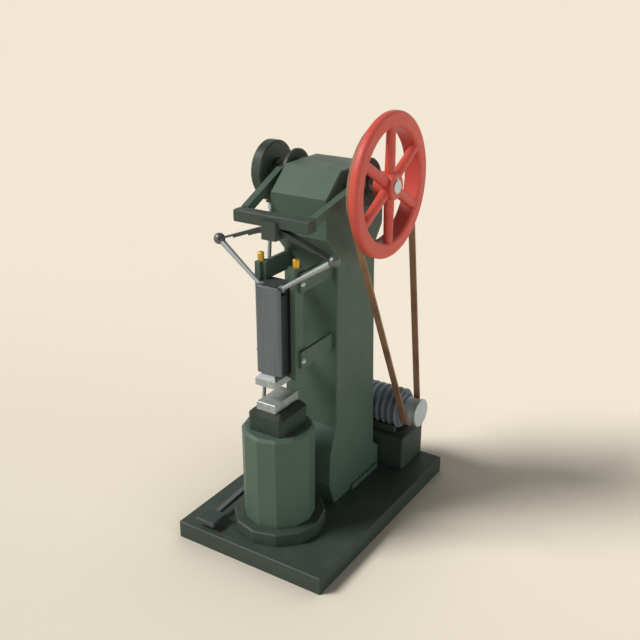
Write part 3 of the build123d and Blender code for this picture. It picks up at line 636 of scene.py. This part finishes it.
def shaft_ends(shape):
    """Chamfered rim and centre hole on both ends of the main shaft, and the key in the wheel's hub."""
    low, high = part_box("main_shaft")
    middle = centre_of("main_shaft")
    radius = (high.z - low.z) / 2
    rings = [
        (-SHAFT_CAP_DEPTH, radius - SHAFT_CAP_GAP),
        (SHAFT_CAP_EDGE, radius - SHAFT_CAP_GAP),
        (SHAFT_CAP_HEIGHT, radius - SHAFT_CAP_RIM_INSET),
        (SHAFT_CAP_HEIGHT, CENTRE_HOLE_RADIUS),
        (CENTRE_HOLE_FLOOR, CENTRE_HOLE_FLOOR_RADIUS),
    ]
    for x, sign in ((low.x, -1), (high.x, 1)):
        turned_stack(shape, (x, middle.y, middle.z), (sign, 0, 0), rings, sides=48)
    hub_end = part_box("flywheel_hub")[1].x
    foot = middle.z + radius
    key_low = (hub_end - KEY_DEPTH, middle.y - KEY_HALF_WIDTH, foot)
    key_high = (hub_end + KEY_PROUD, middle.y + KEY_HALF_WIDTH, foot + KEY_HEIGHT)
    bar(shape, key_low, key_high, KEY_BEVEL)


def pin_heads(shape):
    """Ends of the link pins, seen on the ram's front face."""
    low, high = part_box("ram_pins")
    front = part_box("ram")[0].y
    z = (low.z + high.z) / 2
    for x in (low.x + PIN_INSET, high.x - PIN_INSET):
        turned_stack(shape, (x, front, z), (0, -1, 0), in_metres(PIN_HEAD_PROFILE), sides=32)


def pedal_tread(shape):
    """Raised ribs across the pedal's top."""
    low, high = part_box("treadle_pedal")
    for index in range(RIB_COUNT):
        y = low.y + RIB_START + RIB_PITCH * index
        rib_low = (low.x + RIB_INSET, y - RIB_HALF_WIDTH, high.z - RIB_DEPTH)
        rib_high = (high.x - RIB_INSET, y + RIB_HALF_WIDTH, high.z + RIB_HEIGHT)
        bar(shape, rib_low, rib_high, RIB_BEVEL)


def cup_lids(shape):
    """Screw lid with a fine knurl on each oil cup, and a collar round its stem."""
    low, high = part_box("oil_cups")
    y = (low.y + high.y) / 2
    radius = (high.y - low.y) / 2
    top = high.z - low.z
    lid = [
        (top - LID_SKIRT, radius - LID_SKIRT_INSET),
        (top - LID_HEIGHT, radius + LID_PROUD),
        (top - LID_SLOPE, radius + LID_PROUD),
        (top + LID_CROWN, radius - LID_CROWN_INSET),
    ]
    collar = [(0.0, radius - CUP_COLLAR_INSET), (CUP_COLLAR_HEIGHT, radius - CUP_COLLAR_INSET)]
    for x in (low.x + radius, high.x - radius):
        turned_stack(shape, (x, y, low.z), (0, 0, 1), lid, sides=72, knurl=LID_KNURL)
        turned_stack(shape, (x, y, low.z), (0, 0, 1), collar, sides=48)


def fan_grille(shape):
    """Concentric bars over the fan at the motor's free end."""
    centre = centre_of("motor_fan_cover")
    centre.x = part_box("motor_fan_cover")[0].x
    for radius in GRILLE_RADII:
        hoop(shape, centre, radius, GRILLE_WIRE)
    for index in range(GRILLE_BARS):
        angle = 2 * math.pi * index / GRILLE_BARS
        out = Vector((0, math.cos(angle), math.sin(angle)))
        turned_stack(shape, centre, out, in_metres(GRILLE_BAR_PROFILE), sides=10)


def rod_nuts(shape):
    """Lock nuts where the brake rod screws into the shoe."""
    low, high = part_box("brake_rod")
    foot = Vector(((low.x + high.x) / 2, low.y + ROD_EYE_RADIUS, low.z + ROD_EYE_RADIUS))
    shaft = centre_of("main_shaft")
    shaft.x = foot.x
    up = (shaft - foot).normalized()
    top = shaft - up * ROD_TOP_TO_SHAFT
    for drop in LOCK_NUT_DROPS:
        turned_stack(shape, top - up * drop, up, in_metres(LOCK_NUT_PROFILE), sides=6)


def belt_lacing(shape):
    """Wire hooks that join the belt's ends, on its rear run."""
    low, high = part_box("drive_belt")
    top = centre_of("main_shaft")
    foot = centre_of("motor_body")
    top.x = foot.x = 0
    big = high.z - top.z
    small = high.y - foot.y
    along = (foot - top).normalized()
    lean = (big - small) / (foot - top).length
    out = Vector((0, -along.z, along.y)) * math.sqrt(1 - lean * lean) + along * lean
    down = Vector((0, out.z, -out.y))
    middle = (top + out * big + foot + out * small) / 2
    for index in range(LACE_COUNT):
        x = low.x + (high.x - low.x) * (index + 0.5) / LACE_COUNT
        place = Vector((x, middle.y, middle.z)) - down * LACE_HALF_LENGTH - out * LACE_SUNK
        turned_stack(shape, place, down, in_metres(LACE_PROFILE), sides=8)


def shaft_collars(shape):
    """Set collars at the ends of the treadle's cross shaft and crank pin."""
    low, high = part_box("treadle_shaft")
    y = centre_of("treadle_bearings").y
    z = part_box("treadle_bearings")[1].z - TREADLE_AXIS_DROP
    shaft_end = (high.x - COLLAR_OVERLAP, y, z)
    turned_stack(shape, shaft_end, (1, 0, 0), in_metres(SHAFT_COLLAR_PROFILE), sides=32)
    crank_pin = (low.x, low.y + CRANK_EYE_RADIUS, z)
    turned_stack(shape, crank_pin, (-1, 0, 0), in_metres(CRANK_COLLAR_PROFILE), sides=32)


def add_details():
    add_piece("bracket_bolts", bracket_bolts, "frame", "bright_steel")
    add_piece("flange_bolts", flange_bolts, "frame", "frame_green")
    add_piece("bearing_bolts", bearing_bolts, "frame", "dark_green")
    # Motor bolts in the block's dark green, which also stands in for the shade under the motor
    add_piece("motor_bolts", motor_bolts, "frame", "motor_grey", "dark_green")
    add_piece("oil_cup_lids", cup_lids, "frame", "oil_brass")
    add_piece("fan_grille", fan_grille, "frame", "motor_grey")
    add_piece("belt_lacing", belt_lacing, "frame", "bright_steel")
    add_piece("disc_bolts", disc_bolts, "flywheel", "dark_green")
    add_piece("shaft_ends", shaft_ends, "flywheel", "bright_steel", "shaft_end")
    add_piece("pin_heads", pin_heads, "ram", "bright_steel", "ram_steel")
    add_piece("pedal_tread", pedal_tread, "treadle", "treadle_iron")
    add_piece("shaft_collars", shaft_collars, "treadle", "treadle_iron")
    add_piece("rod_nuts", rod_nuts, "brake_rod", "bright_steel")


def build_floor():
    """Pale floor with painted shadow, a little darker in front, and painted shade close to the machine."""
    mesh = bpy.data.meshes.new("floor")
    corners = [(-FLOOR_REACH, -FLOOR_REACH, 0), (FLOOR_REACH, -FLOOR_REACH, 0),
               (FLOOR_REACH, FLOOR_REACH, 0), (-FLOOR_REACH, FLOOR_REACH, 0)]
    mesh.from_pydata(corners, [], [(0, 1, 2, 3)])
    floor = bpy.data.objects.new("floor", mesh)
    bpy.context.scene.collection.objects.link(floor)
    s = Shader("floor_cream")
    # Painted shadow: the floor fades darker towards the front
    far = s.band(s.along(s.place, "Y"), FLOOR_FADE_NEAR, FLOOR_FADE_FAR)
    base = s.mix(far, linear(CREAM, FLOOR_NEAR_GAIN), linear(CREAM))
    shade = s.band(s.crevices(FLOOR_SHADE_REACH), 0.0, 0.5, out_high=FLOOR_SHADE)
    base = s.mix(shade, base, linear(CREAM, FLOOR_SHADE_GAIN))
    s.set(Base_Color=base, Roughness=0.9, Specular_IOR_Level=0.1)
    mesh.materials.append(s.material)


def build_world():
    """Backdrop that is pale at the horizon and dark overhead."""
    world = bpy.data.worlds.new("studio")
    bpy.context.scene.world = world
    world.use_nodes = True
    tree = world.node_tree
    background = tree.nodes["Background"]
    height = tree.nodes.new("ShaderNodeSeparateXYZ")
    tree.links.new(tree.nodes.new("ShaderNodeTexCoord").outputs["Generated"], height.inputs[0])
    fade = tree.nodes.new("ShaderNodeMapRange")
    fade.interpolation_type = "SMOOTHSTEP"
    fade.inputs["From Min"].default_value = HORIZON_HEIGHT
    fade.inputs["From Max"].default_value = ZENITH_HEIGHT
    tree.links.new(height.outputs["Z"], fade.inputs["Value"])
    backdrop = tree.nodes.new("ShaderNodeMix")
    backdrop.data_type = "RGBA"
    backdrop.inputs["A"].default_value = linear(CREAM, HORIZON_GAIN)
    backdrop.inputs["B"].default_value = linear(CREAM, ZENITH_GAIN)
    tree.links.new(fade.outputs["Result"], backdrop.inputs["Factor"])
    tree.links.new(backdrop.outputs["Result"], background.inputs["Color"])
    background.inputs["Strength"].default_value = 1.0


def add_sun(name, azimuth, elevation, energy, angle, colour):
    """Distant soft light; the azimuth runs from +X towards +Y, and all angles are in degrees."""
    data = bpy.data.lights.new(name, "SUN")
    data.energy = energy
    data.angle = math.radians(angle)
    data.color = colour
    lamp = bpy.data.objects.new(name, data)
    around, up = math.radians(azimuth), math.radians(elevation)
    toward = Vector((math.cos(around) * math.cos(up), math.sin(around) * math.cos(up), math.sin(up)))
    lamp.location = toward * LAMP_DISTANCE
    lamp.rotation_euler = (-toward).to_track_quat("-Z", "Y").to_euler()
    bpy.context.scene.collection.objects.link(lamp)


def build_lights():
    """Key from the front left, cool fill from the right, and a wide low light from behind."""
    add_sun("key", azimuth=222.6, elevation=45.5, energy=3.2, angle=22, colour=(1.0, 0.98, 0.94))
    add_sun("fill", azimuth=346, elevation=4, energy=1.1, angle=70, colour=(0.82, 0.94, 1.0))
    add_sun("rim", azimuth=98, elevation=9, energy=0.95, angle=110, colour=(1.0, 0.985, 0.96))


def build_camera():
    data = bpy.data.cameras.new("camera")
    data.lens = LENS_MM
    data.sensor_width = SENSOR_MM
    camera = bpy.data.objects.new("camera", data)
    camera.location = CAMERA_PLACE
    camera.rotation_euler = (math.radians(90 - CAMERA_ELEVATION), 0, math.radians(CAMERA_AZIMUTH))
    bpy.context.scene.collection.objects.link(camera)
    bpy.context.scene.camera = camera


dress_nodes()
add_details()
build_floor()
build_world()
build_lights()
build_camera()
bpy.context.scene.view_settings.view_transform = "Standard"
